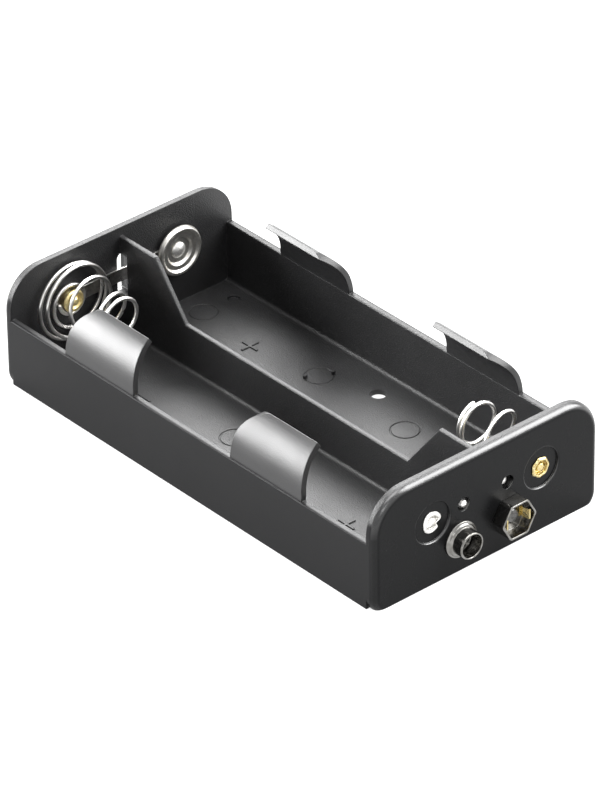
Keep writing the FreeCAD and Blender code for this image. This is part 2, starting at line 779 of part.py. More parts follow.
def make_male_stud():
    """Drawn stud: flange on the plate and a tube with a rolled rim."""
    body = add_body("male_stud")
    sketch = add_sketch(body, "male_stud_section", "XY_Plane")
    gauge, proud = "Sizes.stud_gauge", "Sizes.stud_proud"
    tube, flange = "Sizes.stud_tube / 2", "Sizes.stud_flange / 2"
    inside, rim = f"({tube} - Sizes.stud_wall)", "Sizes.stud_rim"
    step, edge = "Sizes.stud_step", "Sizes.stud_edge"
    corners = [
        ("0", "Sizes.stud_rivet_bore / 2"),
        ("0", flange),
        (gauge, flange),
        (f"{gauge} + {edge}", f"{flange} - {step}"),
        ("Sizes.stud_collar", f"{flange} - {step} - {edge}"),
        ("Sizes.stud_foot", tube),
        (f"{proud} - {rim}", tube),
        (proud, f"{tube} - {rim}"),
        (proud, inside),
        (gauge, inside),
        (gauge, "Sizes.stud_rivet_bore / 2"),
    ]
    add_outline(sketch, corners, {6: (rim, -1)})
    revolve(body, sketch)
    seat(body, 1, MALE_Y, "Sizes.stud_height", HALF_LENGTH)
    return body


def add_hexagon(sketch, flats):
    """Hexagon about the sketch's origin, from its size across the flats."""
    reach = f"{flats} / (2 * cos({SIDE_TURN} / 2))"
    turns = [SIDE_TURN * k for k in range(SOCKET_SIDES)]
    add_outline(sketch, [(f"{reach} * cos({turn})", f"{reach} * sin({turn})") for turn in turns])


def make_socket():
    """Six-sided socket, open towards the front, with a bore for its rivet."""
    body = add_body("female_socket")
    outside = add_sketch(body, "socket_outside", "YZ_Plane")
    add_hexagon(outside, "Sizes.socket_flats")
    pad(body, outside, "Sizes.socket_proud")
    inside = add_sketch(body, "socket_inside", "YZ_Plane", "Sizes.stud_gauge")
    add_hexagon(inside, "(Sizes.socket_flats - 2 * Sizes.socket_wall)")
    pocket(body, inside, "Sizes.socket_proud", backwards=True)
    bore = add_sketch(body, "socket_bore", "YZ_Plane")
    add_circle(bore, "0", "0", "Sizes.stud_rivet_bore")
    pocket(body, bore, "Sizes.stud_gauge", backwards=True)
    seat(body, 1, FEMALE_Y, "Sizes.stud_height", HALF_LENGTH)
    return body


def make_stud_rivet(name, across):
    """Rivet of a stud: head in the stud, tail flared behind the strap."""
    body = add_body(name)
    sketch = add_sketch(body, f"{name}_section", "XY_Plane")
    shank = "Sizes.stud_rivet_bore / 2 - Sizes.fit_clearance"
    outer = "(Sizes.plate_thickness + Sizes.stud_gauge)"
    head, back = "Sizes.stud_rivet_head / 2", "Sizes.strap_thickness"
    tail = "Sizes.stud_rivet_tail / 2"
    end = f"-{back} - Sizes.stud_rivet_tail_thickness"
    front = f"{outer} + Sizes.stud_rivet_head_thickness"
    corners = [
        (end, "0"),
        (end, f"{tail} - Sizes.stud_rivet_tail_chamfer"),
        (f"-{back}", tail),
        (f"-{back}", shank),
        (outer, shank),
        (outer, head),
        (f"{outer} + Sizes.stud_rivet_brim", head),
        (front, f"{head} - Sizes.stud_rivet_chamfer"),
        (front, "0"),
    ]
    add_outline(sketch, corners)
    revolve(body, sketch)
    seat(body, 1, across, "Sizes.stud_height")
    return body


def make_leaves():
    """Brass leaves in the socket: each has a foot and a waist that grips the other stud."""
    body = add_body("socket_leaves")
    half, gap, gauge = "Sizes.leaf_width / 2", "Sizes.leaf_gap / 2", "Sizes.leaf_gauge"
    base, bend = "Sizes.stud_gauge", "Sizes.leaf_bend"
    waist = f"{base} + Sizes.leaf_waist_height"
    top = "Sizes.socket_proud - Sizes.leaf_below_rim"
    for name, sign in (("right_leaf", ""), ("left_leaf", "-")):
        sketch = add_sketch(body, name, "XY_Plane", f"-{half}")
        corners = [
            (base, f"{sign}({gap} + {gauge})"),
            (base, f"{sign}Sizes.leaf_foot"),
            (f"{base} + {gauge}", f"{sign}Sizes.leaf_foot"),
            (f"{base} + {gauge}", f"{sign}{gap}"),
            (waist, f"{sign}({gap} - {bend})"),
            (top, f"{sign}({gap} + {bend})"),
            (top, f"{sign}({gap} + {bend} + {gauge})"),
            (waist, f"{sign}({gap} - {bend} + {gauge})"),
        ]
        add_outline(sketch, corners)
        pad(body, sketch, "Sizes.leaf_width")
    seat(body, 1, FEMALE_Y, "Sizes.stud_height", HALF_LENGTH)
    return body


def make_metal():
    """All metal pieces, seated on the plates."""
    spring_stack = "(Sizes.strap_thickness + Sizes.wire_diameter + 2 * Sizes.spring_gap)"
    disc_stack = "(Sizes.strap_thickness + Sizes.disc_gauge)"
    across = {"spring": CONTACT_Y, "disc": f"-{CONTACT_Y}"}
    pieces = [make_bridge()]
    pieces.append(make_stud_strap("positive_strap", "-", MALE_Y))
    pieces.append(make_stud_strap("negative_strap", "", FEMALE_Y))
    for place, end in (("far", -1), ("near", 1)):
        pieces.append(make_spring(f"{place}_spring", end, across["spring"]))
        pieces.append(make_disc(f"{place}_disc_contact", end, across["disc"]))
        head = "Sizes.spring_rivet_head"
        pieces.append(make_rivet(f"{place}_spring_rivet", end, across["spring"], head, spring_stack))
        head = "Sizes.disc_rivet_head"
        pieces.append(make_rivet(f"{place}_disc_rivet", end, across["disc"], head, disc_stack))
    pieces.append(make_male_stud())
    pieces.append(make_socket())
    pieces.append(make_stud_rivet("male_stud_rivet", MALE_Y))
    pieces.append(make_stud_rivet("female_socket_rivet", FEMALE_Y))
    pieces.append(make_leaves())
    return pieces


def check_and_write(pieces):
    """Stop on any failed object or bad shape, then write one file for each piece."""
    doc.recompute()
    failed = [item.Name for item in doc.Objects if {"Invalid", "Error"} & set(item.State)]
    if failed:
        raise RuntimeError(f"failed objects: {failed}")
    for piece in pieces:
        if piece.Shape.isNull() or not piece.Shape.isValid():
            raise RuntimeError(f"bad shape: {piece.Label}")
    os.makedirs("parts", exist_ok=True)
    for piece in pieces:
        piece.Shape.exportStep(f"parts/{piece.Label}.step")
        solids = len(piece.Shape.Solids)
        print(f"{piece.Label}: {solids} solid, {piece.Shape.Volume:.1f} mm3")


fill_sheet()
check_and_write([make_holder()] + make_metal())
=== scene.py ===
"""Dressed scene of a black battery holder with springs, disc contacts and snap studs.

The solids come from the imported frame. This script gives each of them its finish, adds
the fine pieces that belong to the looks, and sets up a plain studio with the camera.
Shapes are worked out in millimetres and become metres when their mesh is made. The studio's
lengths are metres unless a name ends in _mm.
"""

import json
import logging
import math
from dataclasses import dataclass, field
from enum import Enum

import bmesh
import bpy
import numpy as np
from mathutils import Matrix, Vector

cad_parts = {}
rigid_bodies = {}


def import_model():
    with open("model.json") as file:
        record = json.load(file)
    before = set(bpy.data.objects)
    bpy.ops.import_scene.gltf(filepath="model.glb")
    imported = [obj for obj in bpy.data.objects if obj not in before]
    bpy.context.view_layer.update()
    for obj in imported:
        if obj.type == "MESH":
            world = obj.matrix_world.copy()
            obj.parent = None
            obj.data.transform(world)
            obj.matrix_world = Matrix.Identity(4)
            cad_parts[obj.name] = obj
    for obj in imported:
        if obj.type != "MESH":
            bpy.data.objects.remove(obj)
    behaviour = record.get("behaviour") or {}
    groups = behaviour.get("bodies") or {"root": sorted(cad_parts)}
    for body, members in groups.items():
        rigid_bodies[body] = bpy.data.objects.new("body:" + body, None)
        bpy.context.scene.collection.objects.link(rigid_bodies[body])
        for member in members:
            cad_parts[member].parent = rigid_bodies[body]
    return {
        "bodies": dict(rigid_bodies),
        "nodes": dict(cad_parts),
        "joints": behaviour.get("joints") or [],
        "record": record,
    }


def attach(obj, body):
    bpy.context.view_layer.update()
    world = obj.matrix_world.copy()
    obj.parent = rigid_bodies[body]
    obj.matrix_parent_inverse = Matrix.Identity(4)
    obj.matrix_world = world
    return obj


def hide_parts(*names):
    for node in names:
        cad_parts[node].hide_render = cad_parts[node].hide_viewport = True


LOG = logging.getLogger("battery_holder")
MM = 0.001
ROOT_BODY = "root"
WHITE = (1.0, 1.0, 1.0)
# Nearly all values of a Noise node lie in this span
NOISE_SPAN = (0.3, 0.7)
# Levels of finer detail in a fine noise and in a broad one
FINE_DETAIL, BROAD_DETAIL = 2.0, 3.0
# Rays that look for an edge near each point
EDGE_SAMPLES = 6
# Points of a mesh that are closer than this, in metres, become one
MERGE_DISTANCE = 1e-7
# A stretch of no length counts as this long, in millimetres, where it is divided by
LEAST_LENGTH = 1e-9
# Faces of the end plates, and where the contacts and the studs lie, in millimetres
PLATE_IN, PLATE_OUT = 53.1, 55.4
CONTACT_Y, CONTACT_Z = 14.025, 14.1
STUD_Z, MALE_Y, FEMALE_Y = 7.3, -7.05, 5.65

Materials = dict[str, bpy.types.Material]
Span = tuple[float, float]
Profile = tuple[tuple[float, float], ...]


class Slot(Enum):
    """Material slots of the record."""

    HOLDER = "holder_plastic"
    NICKEL = "bright_nickel"
    SPRING = "spring_wire"
    BRASS = "brass_parts"
    STRAP = "strap_steel"
    RIVET = "plated_rivets"


class NodeGraph:
    """Short way to write a node tree."""

    def __init__(self, owner: bpy.types.Material | bpy.types.World) -> None:
        """Empty the owner's tree and keep it.

        Args:
            owner: the material or the world whose nodes are written.
        """
        owner.use_nodes = True
        self.tree = owner.node_tree
        self.tree.nodes.clear()

    def add(self, kind: str, **settings: object) -> bpy.types.Node:
        """Add one node and set its plain attributes.

        Args:
            kind: the node's type name.
            settings: attributes of the node, such as operation.

        Returns:
            The new node.
        """
        node = self.tree.nodes.new(kind)
        for name, value in settings.items():
            setattr(node, name, value)
        return node

    def join(self, source: object, target: object) -> None:
        """Link an output socket to an input socket."""
        self.tree.links.new(source, target)

    def feed(self, value: object, target: object) -> None:
        """Give an input socket its value.

        Args:
            value: a socket, a number, or three numbers for a colour.
            target: the input socket.
        """
        if isinstance(value, bpy.types.NodeSocket):
            self.join(value, target)
        elif isinstance(value, tuple):
            target.default_value = (*value, 1.0)
        else:
            target.default_value = value

    def calc(self, operation: str, first: object, second: object = 0.0, clamp: bool = False) -> object:
        """Add a Math node.

        Args:
            operation: the node's operation.
            first: a socket or a number.
            second: a socket or a number.
            clamp: whether the result is kept between 0 and 1.

        Returns:
            The node's output socket.
        """
        node = self.add("ShaderNodeMath", operation=operation, use_clamp=clamp)
        self.feed(first, node.inputs[0])
        self.feed(second, node.inputs[1])
        return node.outputs[0]

    def rest(self, mask: object) -> object:
        """Mask of all that another mask leaves out."""
        return self.calc("SUBTRACT", 1.0, mask)

    def axes(self, vector: object) -> object:
        """Split a vector into its X, Y and Z sockets."""
        node = self.add("ShaderNodeSeparateXYZ")
        self.join(vector, node.inputs[0])
        return node.outputs

    def scale(self, value: object, span: Span, result: Span = (0.0, 1.0)) -> object:
        """Map a value from one span to another, kept inside the second.

        Args:
            value: the socket that is read.
            span: lowest and highest value that is read.
            result: what comes out at the two ends of the span.

        Returns:
            The output socket.
        """
        node = self.add("ShaderNodeMapRange")
        self.join(value, node.inputs["Value"])
        for name, number in zip(("From Min", "From Max", "To Min", "To Max"), (*span, *result)):
            node.inputs[name].default_value = number
        return node.outputs["Result"]

    def mix(self, mask: object, first: object, second: object, **settings: str) -> object:
        """Go from one value or colour to another under a mask.

        Args:
            mask: the socket that picks the second value where it is 1.
            first: a socket, a number or a colour.
            second: a socket, a number or a colour.
            settings: attributes of the node, such as data_type for a colour.

        Returns:
            The node's output socket.
        """
        node = self.add("ShaderNodeMix", **settings)
        self.join(mask, node.inputs["Factor"])
        self.feed(first, node.inputs["A"])
        self.feed(second, node.inputs["B"])
        return node.outputs["Result"]

    def noise(self, place: object, size_mm: float, detail: float = FINE_DETAIL) -> object:
        """Noise over a place, with features of about a size.

        Args:
            place: the socket with the coordinates.
            size_mm: size of the features in millimetres.
            detail: levels of finer detail.

        Returns:
            The socket with values from 0 to 1.
        """
        node = self.add("ShaderNodeTexNoise")
        self.join(place, node.inputs["Vector"])
        node.inputs["Scale"].default_value = 1.0 / (size_mm * MM)
        node.inputs["Detail"].default_value = detail
        return node.outputs["Fac"]

    def bump(self, height: object, depth_mm: float, edge_mm: float) -> object:
        """Relief from a height between 0 and 1, over edges that look rounded.

        Args:
            height: the socket with the height.
            depth_mm: the relief of height 1 in millimetres.
            edge_mm: radius of the rounding that the sharp edges seem to have.

        Returns:
            The socket with the normal.
        """
        node = self.add("ShaderNodeBump")
        node.inputs["Distance"].default_value = depth_mm * MM
        self.join(height, node.inputs["Height"])
        if edge_mm:
            edge = self.add("ShaderNodeBevel", samples=EDGE_SAMPLES)
            edge.inputs["Radius"].default_value = edge_mm * MM
            self.join(edge.outputs["Normal"], node.inputs["Normal"])
        return node.outputs["Normal"]

    def surface(self, shader: bpy.types.Node) -> None:
        """Send a shader to the surface of the material."""
        output = self.add("ShaderNodeOutputMaterial")
        self.join(shader.outputs[0], output.inputs["Surface"])


@dataclass(frozen=True)
class MetalFinish:
    """Bare or plated metal with faint wear.

    Attributes:
        name: name of the material.
        tint: colour of the metal.
        stain: colour where it has dulled.
        smooth: roughness of the bright areas.
        dull: roughness of the dulled areas.
        patch_mm: size of the dulled areas.
        dent_mm: depth of the fine unevenness.
        dents_per_patch: how many dents lie side by side in a dulled area.
        stain_span: noise values between which the stain comes in.
        outer_painted_shade: factor on the colour on the near plate's outer side, a painted shade that makes a
            darker copy of the metal there.
        inner_rough: roughness added everywhere else.
        outer_from_mm: where the outer side starts on the X axis.
        outer_blend_mm: length over which it comes in.
        edge_mm: radius of the rounding that the sharp edges seem to have.
    """

    name: str
    tint: tuple[float, float, float]
    stain: tuple[float, float, float]
    smooth: float
    dull: float
    patch_mm: float = 1.5
    dent_mm: float = 0.01
    dents_per_patch: float = 3.0
    stain_span: Span = (0.42, 0.68)
    outer_painted_shade: float = 1.0
    inner_rough: float = 0.0
    outer_from_mm: float = 55.42
    outer_blend_mm: float = 0.08
    edge_mm: float = 0.0

    def build(self) -> bpy.types.Material:
        """Make the material.

        Returns:
            The new material.
        """
        material = bpy.data.materials.new(self.name)
        graph = NodeGraph(material)
        place = graph.add("ShaderNodeTexCoord").outputs["Object"]
        wear = graph.noise(place, self.patch_mm, detail=BROAD_DETAIL)
        metal = graph.mix(graph.scale(wear, self.stain_span), self.tint, self.stain, data_type="RGBA")
        start, end = self.outer_from_mm * MM, (self.outer_from_mm + self.outer_blend_mm) * MM
        outer = graph.scale(graph.axes(place)["X"], (start, end))
        # Painted shade: the metal's colour is darkened on the near plate's outer side
        grey = (self.outer_painted_shade,) * 3
        shaded = graph.mix(outer, metal, grey, data_type="RGBA", blend_type="MULTIPLY")
        rough = graph.scale(wear, NOISE_SPAN, (self.smooth, self.dull))
        added = graph.scale(outer, (0.0, 1.0), (self.inner_rough, 0.0))
        dents = graph.noise(place, self.patch_mm / self.dents_per_patch)

        shader = graph.add("ShaderNodeBsdfPrincipled")
        shader.inputs["Metallic"].default_value = 1.0
        graph.join(shaded, shader.inputs["Base Color"])
        graph.join(graph.calc("ADD", rough, added, clamp=True), shader.inputs["Roughness"])
        graph.join(graph.bump(dents, self.dent_mm, self.edge_mm), shader.inputs["Normal"])
        graph.surface(shader)
        return material


@dataclass(frozen=True)
class PlasticFinish:
    """Black moulded plastic: glossy end plates, matte walls and grainy bays.

    Attributes:
        name: name of the material.
        plate_painted_shade: grey of the end plates' outer faces, darkened as painted shade.
        wall_painted_shade: grey of the walls' outer faces, darkened as painted shade.
        bay_painted_light: grey inside the bays and on the clips, lightened as painted light.
        plate_rough: roughness of the plates' outer faces.
        wall_rough: roughness of the walls' outer faces.
        bay_rough: roughness inside the bays.
        floor_rough: roughness of the bays' floors.
        clip_rough: roughness of the clips.
        drift: lowest and highest change of the roughness from place to place.
        specular: strength of the reflection in the bays.
        outer_specular: strength of the reflection outside.
        clip_specular: strength of the reflection on the clips.
        edge_specular: strength of the reflection on the plates' rounded edges.
        plate_x_mm: where the plates' outer halves start.
        wall_y_mm: where the walls' outer halves start.
        clip_z_mm: where the clips start.
        clip_y_mm: how far inwards the clips reach.
        side_blend_mm: half the length over which a region goes over into the next sideways.
        clip_blend_mm: half the length over which the clips' region comes in upwards.
        level_span: upward parts of the normal between which a face turns into a floor.
        turned_span: X parts of the normal between which a rounded edge turns into an end face.
        upward_span: upward parts of the normal between which a side edge turns into an upper one.
        side_edge: share of the upper edges' reflection that the side edges have.
        cloud_mm: size of the areas in which the roughness drifts.
        grain_mm: size of the grain.
        grain_span: noise values between which the grain rises.
        grain_depth_mm: depth of the grain in the bays.
        outer_grain: share of that depth on the outer faces and on the clips.
        edge_mm: radius of the rounding that the sharp edges seem to have.
    """

    name: str
    # The three greys of the one plastic are painted light and shade: darkest on the plates' outer faces,
    # lighter on the walls, lightest in the bays and on the clips
    plate_painted_shade: tuple[float, float, float] = (0.0032, 0.0034, 0.0038)
    wall_painted_shade: tuple[float, float, float] = (0.0075, 0.0075, 0.008)
    bay_painted_light: tuple[float, float, float] = (0.012, 0.012, 0.0125)
    plate_rough: float = 0.26
    wall_rough: float = 0.40
    bay_rough: float = 0.40
    floor_rough: float = 0.48
    clip_rough: float = 0.36
    drift: Span = (-0.03, 0.04)
    specular: float = 0.45
    outer_specular: float = 0.11
    clip_specular: float = 0.48
    edge_specular: float = 1.0
    plate_x_mm: float = 54.3
    wall_y_mm: float = 28.5
    clip_z_mm: float = 15.3
    clip_y_mm: float = 19.0
    side_blend_mm: float = 0.15
    clip_blend_mm: float = 0.3
    level_span: Span = (0.8, 0.95)
    turned_span: Span = (0.88, 0.98)
    upward_span: Span = (0.0, 0.45)
    side_edge: float = 0.12
    cloud_mm: float = 9.0
    grain_mm: float = 0.22
    grain_span: Span = (0.3, 0.75)
    grain_depth_mm: float = 0.05
    outer_grain: float = 0.15
    edge_mm: float = 0.25

    def beyond(self, graph: NodeGraph, along: object, limit_mm: float) -> object:
        """Mask of what lies farther out than a limit on one axis.

        Args:
            graph: the material's nodes.
            along: the socket with the coordinate.
            limit_mm: the limit in millimetres, on both sides.

        Returns:
            A socket that is 1 outside the limit and 0 inside.
        """
        start, end = (limit_mm - self.side_blend_mm) * MM, (limit_mm + self.side_blend_mm) * MM
        return graph.scale(graph.calc("ABSOLUTE", along), (start, end))

    def clips(self, graph: NodeGraph, axes: object) -> object:
        """Mask of the clips: high up, far from the middle and between the end plates.

        Args:
            graph: the material's nodes.
            axes: the sockets with the coordinates.

        Returns:
            A socket that is 1 on the clips and 0 elsewhere.
        """
        start, end = (self.clip_z_mm - self.clip_blend_mm) * MM, (self.clip_z_mm + self.clip_blend_mm) * MM
        above = graph.scale(axes["Z"], (start, end))
        beside = self.beyond(graph, axes["Y"], self.clip_y_mm)
        between = graph.rest(self.beyond(graph, axes["X"], PLATE_IN))
        return graph.calc("MULTIPLY", graph.calc("MULTIPLY", above, beside), between)

    def level(self, graph: NodeGraph, facing: object) -> object:
        """Mask of the faces that look straight up, such as the floors of the bays."""
        return graph.scale(facing["Z"], self.level_span)

    def turning(self, graph: NodeGraph, facing: object) -> object:
        """Mask of rounded edges, where the surface turns away from the X axis.

        Args:
            graph: the material's nodes.
            facing: the sockets with the normal.

        Returns:
            A socket that is 1 on upper edges, low on side edges and 0 on the end faces.
        """
        turned = graph.scale(graph.calc("ABSOLUTE", facing["X"]), self.turned_span, (1.0, 0.0))
        upward = graph.scale(facing["Z"], self.upward_span, (self.side_edge, 1.0))
        return graph.calc("MULTIPLY", turned, upward)

    def build(self) -> bpy.types.Material:
        """Make the material.

        Returns:
            The new material.
        """
        material = bpy.data.materials.new(self.name)
        graph = NodeGraph(material)
        place = graph.add("ShaderNodeTexCoord").outputs["Object"]
        facing = graph.axes(graph.add("ShaderNodeTexCoord").outputs["Normal"])
        axes = graph.axes(place)
        plate = self.beyond(graph, axes["X"], self.plate_x_mm)
        clip = self.clips(graph, axes)
        wall = graph.calc("MULTIPLY", self.beyond(graph, axes["Y"], self.wall_y_mm), graph.rest(clip))
        outer = graph.calc("MAXIMUM", plate, wall)
        inner = graph.rest(graph.calc("MAXIMUM", outer, clip))

        # Painted light and shade: each region of the same plastic gets its own grey
        shade = graph.mix(wall, self.bay_painted_light, self.wall_painted_shade, data_type="RGBA")
        shade = graph.mix(plate, shade, self.plate_painted_shade, data_type="RGBA")
        rough = graph.mix(self.level(graph, facing), self.bay_rough, self.floor_rough)
        rough = graph.mix(wall, rough, self.wall_rough)
        rough = graph.mix(plate, rough, self.plate_rough)
        rough = graph.mix(clip, rough, self.clip_rough)
        drift = graph.scale(graph.noise(place, self.cloud_mm, detail=BROAD_DETAIL), NOISE_SPAN, self.drift)
        shine = graph.mix(outer, self.specular, self.outer_specular)
        shine = graph.mix(clip, shine, self.clip_specular)
        rim = graph.calc("MULTIPLY", plate, self.turning(graph, facing))
        shine = graph.mix(rim, shine, self.edge_specular)
        relief = graph.scale(graph.noise(place, self.grain_mm), self.grain_span)
        weight = graph.scale(inner, (0.0, 1.0), (self.outer_grain, 1.0))
        height = graph.calc("MULTIPLY", relief, weight)

        shader = graph.add("ShaderNodeBsdfPrincipled")
        graph.join(shine, shader.inputs["Specular IOR Level"])
        graph.join(shade, shader.inputs["Base Color"])
        graph.join(graph.calc("ADD", rough, drift, clamp=True), shader.inputs["Roughness"])
        graph.join(graph.bump(height, self.grain_depth_mm, self.edge_mm), shader.inputs["Normal"])
        graph.surface(shader)
        return material


FINISHES: dict[Slot, PlasticFinish | MetalFinish] = {
    Slot.HOLDER: PlasticFinish("black plastic"),
    Slot.NICKEL: MetalFinish(
        "bright nickel",
        tint=(0.76, 0.745, 0.71),
        stain=(0.50, 0.485, 0.45),
        smooth=0.16,
        dull=0.26,
        # Painted shade darkens the stud and the socket
        outer_painted_shade=0.32,
        inner_rough=0.14,
    ),
    Slot.SPRING: MetalFinish(
        "nickel plated wire",
        tint=(0.78, 0.77, 0.75),
        stain=(0.62, 0.61, 0.59),
        smooth=0.26,
        dull=0.34,
        patch_mm=5.0,
        dent_mm=0.004,
    ),
    Slot.BRASS: MetalFinish(
        "brass",
        tint=(0.94, 0.80, 0.42),
        stain=(0.72, 0.56, 0.24),
        smooth=0.20,
        dull=0.34,
        patch_mm=0.8,
        dent_mm=0.02,
        # Painted shade darkens the brass on the near plate's outer side
        outer_painted_shade=0.66,
        inner_rough=0.16,
        outer_from_mm=54.3,
    ),
    Slot.STRAP: MetalFinish(
        "strap steel",
        tint=(0.44, 0.43, 0.42),
        stain=(0.28, 0.27, 0.26),
        smooth=0.26,
        dull=0.40,
        edge_mm=0.3,
    ),
    Slot.RIVET: MetalFinish(
        "tin plated rivet",
        tint=(0.94, 0.93, 0.91),
        stain=(0.55, 0.54, 0.52),
        smooth=0.20,
        dull=0.34,
        patch_mm=0.9,
        dent_mm=0.03,
        # Painted shade darkens the plated rivets on the near plate's outer side, inside the studs
        outer_painted_shade=0.15,
        inner_rough=0.14,
    ),
}


def dress(piece: bpy.types.Object, material: bpy.types.Material) -> None:
    """Put one material on all of a piece's material slots."""
    if not piece.material_slots:
        piece.data.materials.append(material)
    for place in piece.material_slots:
        place.material = material


@dataclass
class Holder:
    """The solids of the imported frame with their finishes."""

    materials: Materials = field(default_factory=dict)

    def dress_nodes(self, frame: dict) -> int:
        """Give every solid the finish of its slot.


        Returns:
            How many solids were dressed.
        """
        for slot, finish in FINISHES.items():
            self.materials[slot.value] = finish.build()
        for row in frame["record"]["subparts"]:
            dress(frame["nodes"][row["node"]], self.materials[row["material_slot"]])
        return len(frame["nodes"])


def bell(values: np.ndarray, centre: float, width: float, power: int = 2) -> np.ndarray:
    """Bump that is 1 at its centre: e to the minus ((values - centre) / width) ^ power.

    Args:
        values: where the bump is read.
        centre: where it is 1.
        width: distance at which it has fallen to 1 / e.
        power: even number, larger for a flatter top and steeper sides.

    Returns:
        As many numbers from 0 to 1.
    """
    return np.exp(-(((values - centre) / width) ** power))


def add_grid_piece(
    name: str, points: np.ndarray, slot: Slot, materials: Materials, caps: bool = True
) -> bpy.types.Object:
    """Make a closed surface from a grid of points and ride it on the root body.

    Row i of the grid is one ring of the surface. Each square of the grid is one face, so face
    (i, j) joins points (i, j), (i, j+1), (i+1, j+1) and (i+1, j), with j running round. With
    caps, the first and the last ring are closed by one face each. Without caps, the last ring
    is the same as the first, and merging their points closes the surface.

    Args:
        name: the piece's name.
        points: array of rings by sides by 3, in millimetres.
        slot: the slot whose finish it takes.
        materials: the materials by slot name.
        caps: whether the first and the last ring are closed by a face each.

    Returns:
        The new piece.
    """
    rings, sides, _ = points.shape
    i, j = np.meshgrid(np.arange(rings - 1), np.arange(sides), indexing="ij")
    after = (j + 1) % sides
    this_ring, next_ring = i * sides, (i + 1) * sides
    squares = np.stack([this_ring + j, this_ring + after, next_ring + after, next_ring + j], -1)
    faces = squares.reshape(-1, 4).tolist()
    if caps:
        faces.append(list(range(sides))[::-1])
        faces.append(list(range((rings - 1) * sides, rings * sides)))
    mesh = bpy.data.meshes.new(name)
    mesh.from_pydata((points.reshape(-1, 3) * MM).tolist(), [], faces)
    work = bmesh.new()
    work.from_mesh(mesh)
    bmesh.ops.remove_doubles(work, verts=work.verts, dist=MERGE_DISTANCE)
    loose = [edge for edge in work.edges if not edge.link_faces]
    bmesh.ops.delete(work, geom=loose, context="EDGES")
    bmesh.ops.recalc_face_normals(work, faces=work.faces)
    work.to_mesh(mesh)
    work.free()
    mesh.shade_smooth()
    piece = bpy.data.objects.new(name, mesh)
    bpy.context.scene.collection.objects.link(piece)
    dress(piece, materials[slot.value])
    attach(piece, ROOT_BODY)
    LOG.info("%s: %d faces", name, len(faces))
    return piece


